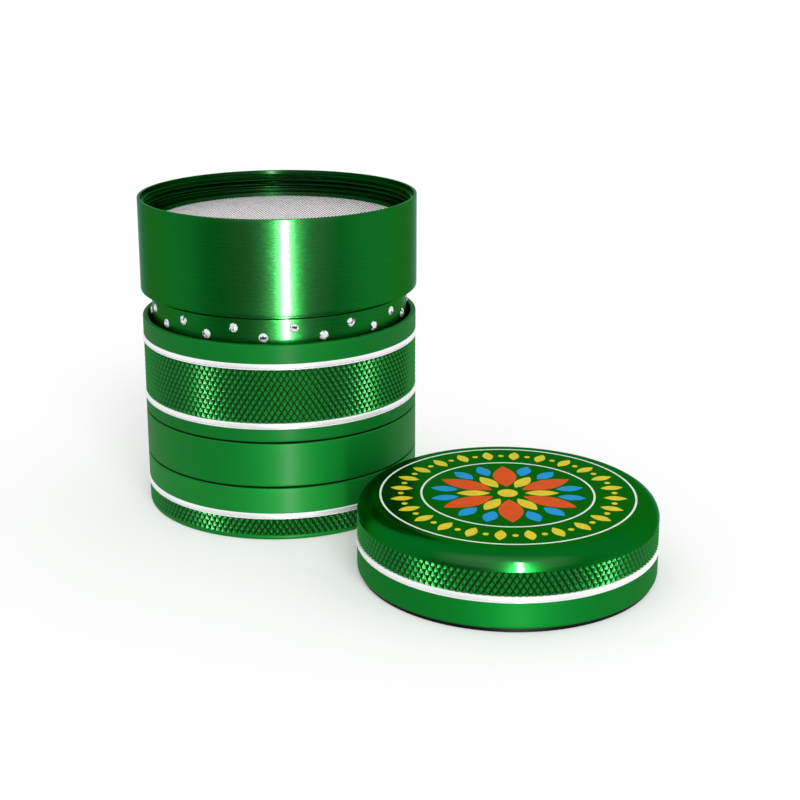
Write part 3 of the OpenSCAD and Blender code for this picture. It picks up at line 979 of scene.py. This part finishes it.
class BrightBandsOperator(bpy.types.Operator):
    """Turn the bright bands, each with a fine groove near its foot"""

    bl_idname = "grinder.bright_bands"
    bl_label = "Bright Bands"

    BANDS = {
        "base_band": ("base", STACK_AXIS, "bright band"),
        "chamber_band_lower": ("chamber", STACK_AXIS, "bright band"),
        "chamber_band_upper": ("chamber", STACK_AXIS, "bright band"),
        "lid_band": ("lid", LID_AXIS, "bright band lid"),
    }

    def execute(self, context):
        shape = context.scene.grinder_shape
        for node, (body, axis, metal) in self.BANDS.items():
            z, top, r = low_z(node), high_z(node), width_r(node)
            inner_r = BODY_R - shape.recess
            groove_z, groove_w, groove_d = z + 0.3, 0.13, 0.5
            outline = soften([
                (inner_r, z), (r - 0.12, z), (r, z + 0.1),
                (r, groove_z - groove_w), (r - groove_d, groove_z), (r, groove_z + groove_w),
                (r, top - 0.2), (r - 0.2, top), (inner_r, top),
            ], 0.05)
            mesh = turned_mesh(outline, shape.segments, axis)
            add_piece(f"{node}_turned", mesh, body, [metal], node)
        return {"FINISHED"}


def weave(radius, z_mid, pitch, screen):
    """A round plain weave of rolled wires: the warp rides high and the weft lies low."""
    half_t = screen.wire_flat / 2
    lift = half_t * 0.5
    reach = int(radius / pitch)
    turn = Matrix.Rotation(screen.weave_angle, 2)
    verts, faces = [], []
    for way, wire_share in ((0, screen.weft_share), (1, screen.warp_share)):
        half_w = pitch * wire_share / 2
        level = z_mid + (half_t if way else -half_t)
        for i in range(-reach, reach + 1):
            across = i * pitch
            half = int(math.sqrt(max(0.0, radius ** 2 - across ** 2)) / pitch)
            if half < 1:
                continue
            first, last = len(verts), len(verts) + 8 * half
            for k in range(-half, half + 1):
                side = 1 if (i + k + way) % 2 else -1
                for off, up in ((-half_w, 0), (0, half_t), (half_w, 0), (0, -half_t)):
                    flat = (k * pitch, across + off)
                    spot = turn @ Vector(flat[::-1] if way else flat)
                    verts.append((spot.x * MM, spot.y * MM, (level + side * lift + up) * MM))
            for k in range(2 * half):
                for c in range(4):
                    a, b = first + 4 * k + c, first + 4 * k + (c + 1) % 4
                    faces.append((a, b, b + 4, a + 4))
            faces.append((first + 3, first + 2, first + 1, first))
            faces.append((last, last + 1, last + 2, last + 3))
    return closed_mesh(verts, faces)


class ScreensOperator(bpy.types.Operator):
    """Weave the two screens"""

    bl_idname = "grinder.screens"
    bl_label = "Woven Screens"

    def execute(self, context):
        screen = context.scene.grinder_screen
        for node, body, pitch in (
            ("top_screen", "top", screen.fine_pitch),
            ("catch_screen", "catch", screen.coarse_pitch),
        ):
            middle = (low_z(node) + high_z(node)) / 2
            add_piece(
                f"{node}_woven", weave(width_r(node) - 0.1, middle, pitch, screen), body,
                ("woven wire", "dull wire"), node, 70,
                # Faces below the weave's middle get the painted shade.
                chooser=lambda centre, normal: centre.z < middle * MM,
            )
        return {"FINISHED"}


class CrystalsOperator(bpy.types.Operator):
    """Cut the stones and set them on the neck"""

    bl_idname = "grinder.crystals"
    bl_label = "Crystals"

    def execute(self, context):
        stones = context.scene.grinder_crystals
        levels = (
            (-0.5, 0.93 * stones.stone_r, 0.0),
            (0.06, stones.stone_r, 0.0),
            (0.55 * stones.crown, 0.86 * stones.stone_r, 0.5),
            (stones.crown, 0.55 * stones.stone_r, 0.0),
        )
        verts, faces = [], []
        step, sides = FULL_TURN / stones.per_row, stones.sides
        for row in (0, 1):
            z = SHOULDER - stones.drop - row * stones.row_gap
            for i in range(stones.per_row):
                around = stones.start + (i + row / 2) * step - math.pi / 2
                roll = (7 * i + 3 * row) * 0.61
                out = Vector((math.cos(around), math.sin(around), 0.0))
                side = Vector((-math.sin(around), math.cos(around), 0.0))
                first = len(verts)
                for height, radius, shift in levels:
                    for k in range(sides):
                        a = roll + (k + shift) * FULL_TURN / sides
                        spot = out * (NECK_R + height) + side * (radius * math.cos(a))
                        spot += Vector((0, 0, z + radius * math.sin(a)))
                        verts.append((spot * MM)[:])
                faces.append([first + k for k in range(sides)][::-1])
                faces.append([first + 3 * sides + k for k in range(sides)])
                for level in range(3):
                    low, high = first + level * sides, first + (level + 1) * sides
                    for k in range(sides):
                        n = (k + 1) % sides
                        a, b, c, d = low + k, low + n, high + n, high + k
                        facets = ([(a, b, c, d)], [(a, b, d), (b, c, d)], [(a, c, d), (a, b, c)])
                        faces += facets[level]
        add_piece(
            "crystals_cut", closed_mesh(verts, faces), "top", ["cut crystal"],
            "crystals", sharp=2,
        )
        return {"FINISHED"}


def petal(r_in, r_out, half_width, around, steps=14):
    """A pointed oval that lies along a radius."""
    middle, half = (r_in + r_out) / 2, (r_out - r_in) / 2
    way = (math.cos(around), math.sin(around))
    side = (-way[1], way[0])
    points = []
    for sign in (1, -1):
        for t in np.linspace(-1, 1, steps, endpoint=False):
            along = middle + half * t * sign
            off = half_width * (1 - t * t) * sign
            points.append((way[0] * along + side[0] * off, way[1] * along + side[1] * off))
    return points

class LidPrintOperator(bpy.types.Operator):
    """Print the rings, the border and the rosette on the lid"""

    bl_idname = "grinder.lid_print"
    bl_label = "Lid Print"

    def execute(self, context):
        ink = context.scene.grinder_print
        z, steps, border_petals = high_z("lid_shell"), 290, 24
        low, high = z - 0.05, z + ink.ink
        for name, r in (("print_circle_outer", ink.outer_r), ("print_circle_inner", ink.inner_r)):
            inner, outer = r - ink.line / 2, r + ink.line / 2
            outline = [(inner, low), (outer, low), (outer, high), (inner, high)]
            mesh = turned_mesh(outline, steps, LID_AXIS)
            add_piece(name, mesh, "lid", ["white ink"])
        border, middle_r = [], (ink.outer_r + ink.inner_r) / 2
        for i in range(border_petals):
            way = (i + 0.5) * FULL_TURN / border_petals
            border.append(petal(middle_r - 2.4, middle_r + 2.4, 1.15, way))
            beside = i * FULL_TURN / border_petals
            spot = (middle_r * math.cos(beside), middle_r * math.sin(beside))
            border.append(circle(0.62, spot, 16))
        sixth = FULL_TURN / 6
        large = [petal(3.6, 15.6, 2.5, (i + 0.5) * sixth) for i in range(6)]
        small = [petal(3.6, 10.6, 1.5, i * sixth) for i in range(6)]
        drops = [petal(10.4, 16.2, 1.5, i * sixth + off) for i in range(6) for off in (-0.19, 0.19)]
        for name, shade, outlines in (
            ("print_border", "yellow", border),
            ("print_petals_large", "orange", large),
            ("print_petals_small", "yellow", small + [circle(2.1)]),
            ("print_drops", "blue", drops),
        ):
            mesh = prisms(outlines, low, high, LID_AXIS)
            add_piece(name, mesh, "lid", [f"{shade} ink"])
        return {"FINISHED"}


class KeptPiecesOperator(bpy.types.Operator):
    """Give the plain pieces of the frame their finishes"""

    bl_idname = "grinder.kept_pieces"
    bl_label = "Plain Pieces"

    FINISHES = {
        "base_seal": "seal rubber",
        "catch_seal": "seal rubber",
        "chamber_seal": "seal rubber",
        "catch_screen_ring": "bright band",
        # The upper screen's ring gets the bore's painted shade.
        "top_screen_ring": "bore anodised",
        "chamber_teeth": "tooth anodised",
        "lid_teeth": "tooth anodised lid",
        "chamber_magnet": "nickel plate",
        "lid_magnet": "nickel plate",
        "lid_glide_ring": "glide nylon",
    }

    def execute(self, context):
        for node, metal in self.FINISHES.items():
            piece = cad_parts[node]
            for slot in piece.material_slots:
                slot.material = finish_named(metal)
        return {"FINISHED"}


# ---------------------------------------------------------------- stage

class StageOperator(bpy.types.Operator):
    """Set the floor, the room, the lamps and the camera"""

    bl_idname = "grinder.stage"
    bl_label = "Stage"

    # The room as polished metal shows it, by direction round the stack: 0 is behind it to the
    # left, 0.5 in front and 1 behind it again. The lower half stands for the table top.
    TABLE_LEVEL = (
        (0.0, 0.92), (0.2, 0.9), (0.29, 0.82), (0.35, 0.34), (0.44, 0.2), (0.5, 0.4),
        (0.56, 0.3), (0.63, 0.5), (0.71, 0.95), (0.8, 0.98), (1.0, 1.0),
    )
    EYE_LEVEL = (
        (0.0, 0.95), (0.26, 0.9), (0.34, 0.74), (0.45, 0.62), (0.55, 0.62), (0.66, 0.74),
        (0.74, 0.9), (1.0, 1.0),
    )
    # Where one level turns into the next, by height: 0 is straight down and 1 straight up
    TABLE_EDGE = ((0.44, 0.0), (0.51, 1.0))
    OVERHEAD_EDGE = ((0.68, 0.0), (0.8, 1.0))
    OVERHEAD = 0.88
    # The room as dull surfaces see it
    PLAIN = 0.78

    # Glossy strip lamps: name, height and the level of its middle in metres, and energy
    STRIPS = (("strip", 0.4, -0.14, 4.0), ("strip top", 0.36, 0.25, 1.8))

    def floor(self):
        mesh = bpy.data.meshes.new("floor")
        shape = bmesh.new()
        bmesh.ops.create_circle(shape, cap_ends=True, segments=96, radius=6.0)
        shape.to_mesh(mesh)
        shape.free()
        floor = bpy.data.objects.new("floor", mesh)
        bpy.context.scene.collection.objects.link(floor)
        paper = Finish(
            "floor paper", Base_Color=(0.8, 0.8, 0.8), Roughness=0.9, Specular_IOR_Level=0.0,
            Emission_Color=(1.0, 1.0, 1.0),
        )
        path = paper.node("LightPath").outputs
        seen = paper.maths("MAXIMUM", path["Is Camera Ray"], path["Is Glossy Ray"])
        seen = paper.maths("MAXIMUM", seen, path["Is Transmission Ray"])
        paper.set(Emission_Strength=paper.maths("MULTIPLY", seen, 0.21))
        mesh.materials.append(paper.material)
        floor.visible_glossy = False
        floor.visible_shadow = False

    def world(self):
        world = bpy.data.worlds.new("studio")
        bpy.context.scene.world = world
        world.use_nodes = True
        room = Wiring(world.node_tree)
        maths = room.maths
        way = room.node("SeparateXYZ", Vector=room.node("TexCoord").outputs["Generated"]).outputs
        around = maths("ARCTAN2", way["X"], maths("MULTIPLY", way["Y"], -1.0))
        around = maths("ADD", maths("DIVIDE", around, FULL_TURN), 0.5)
        height = maths("ADD", maths("MULTIPLY", way["Z"], 0.5), 0.5)
        table, eye = room.greys(around, self.TABLE_LEVEL), room.greys(around, self.EYE_LEVEL)
        level = room.mix(room.greys(height, self.TABLE_EDGE), table, eye)
        level = room.mix(room.greys(height, self.OVERHEAD_EDGE), level, self.OVERHEAD)
        path = room.node("LightPath").outputs
        shown = room.mix(path["Is Glossy Ray"], self.PLAIN, level)
        clear = maths("MAXIMUM", path["Is Camera Ray"], path["Is Transmission Ray"])
        strength = room.mix(clear, shown, 1.0)
        room.fill(room.nodes["Background"], Color=(1.0, 1.0, 1.0), Strength=strength)

    def lamp(self, light, place, target, glossy):
        """Hangs a lamp that faces a target and lights either polished or dull surfaces."""
        piece = bpy.data.objects.new(light.name, light)
        piece.location = place
        piece.rotation_euler = (Vector(target) - Vector(place)).to_track_quat("-Z", "Y").to_euler()
        piece.visible_camera = False
        piece.visible_diffuse = not glossy
        piece.visible_glossy = glossy
        bpy.context.scene.collection.objects.link(piece)

    def lamps(self):
        for name, height, middle, energy in self.STRIPS:
            strip = bpy.data.lights.new(name, "AREA")
            strip.shape = "RECTANGLE"
            strip.size, strip.size_y = 0.036, height
            strip.energy = energy
            self.lamp(strip, (0.105, -0.62, middle), (0.0, 0.0, middle), True)
        key = bpy.data.lights.new("key", "SUN")
        key.angle = math.radians(28)
        key.energy = 1.25
        around, up = math.radians(16), math.radians(38)
        place = (math.sin(around) * math.cos(up), -math.cos(around) * math.cos(up), math.sin(up))
        self.lamp(key, place, (0.0, 0.0, 0.0), False)

    def camera(self):
        lens = bpy.data.cameras.new("camera")
        lens.sensor_width = 36.0
        lens.lens = 67.95
        lens.shift_y = -0.1
        lens.clip_start, lens.clip_end = 0.01, 20.0
        camera = bpy.data.objects.new("camera", lens)
        camera.location = (0.0277, -0.3375, 0.1323)
        camera.rotation_euler = (math.radians(90 - 15.07), 0.0, 0.0)
        bpy.context.scene.collection.objects.link(camera)
        bpy.context.scene.camera = camera

    def execute(self, context):
        self.floor()
        self.world()
        self.lamps()
        self.camera()
        context.scene.view_settings.view_transform = "Standard"
        return {"FINISHED"}


# ---------------------------------------------------------------- panel and registration

OPERATORS = (
    BaseCupOperator,
    CatchRingOperator,
    ChamberOperator,
    TopRingOperator,
    LidShellOperator,
    BrightBandsOperator,
    ScreensOperator,
    CrystalsOperator,
    LidPrintOperator,
    KeptPiecesOperator,
    StageOperator,
)


class GrinderPanel(bpy.types.Panel):
    """Lists the grinder's sizes and finishes and the steps that build it"""

    bl_idname = "VIEW3D_PT_grinder"
    bl_label = "Herb Grinder"
    bl_space_type = "VIEW_3D"
    bl_region_type = "UI"
    bl_category = "Grinder"

    def draw(self, context):
        for attribute, group in SETTINGS.items():
            box = self.layout.box()
            box.label(text=group.__doc__.rstrip("."))
            for name in group.__annotations__:
                box.prop(getattr(context.scene, attribute), name)
        for operator in OPERATORS:
            self.layout.operator(operator.bl_idname)


def register():
    for kind in (*SETTINGS.values(), *OPERATORS, GrinderPanel):
        bpy.utils.register_class(kind)
    for attribute, group in SETTINGS.items():
        setattr(bpy.types.Scene, attribute, PointerProperty(type=group))


def unregister():
    for attribute in SETTINGS:
        delattr(bpy.types.Scene, attribute)
    for kind in reversed((*SETTINGS.values(), *OPERATORS, GrinderPanel)):
        bpy.utils.unregister_class(kind)


def main():
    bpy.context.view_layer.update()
    register()
    for operator in OPERATORS:
        category, name = operator.bl_idname.split(".")
        getattr(getattr(bpy.ops, category), name)()


if __name__ == "__main__":
    main()
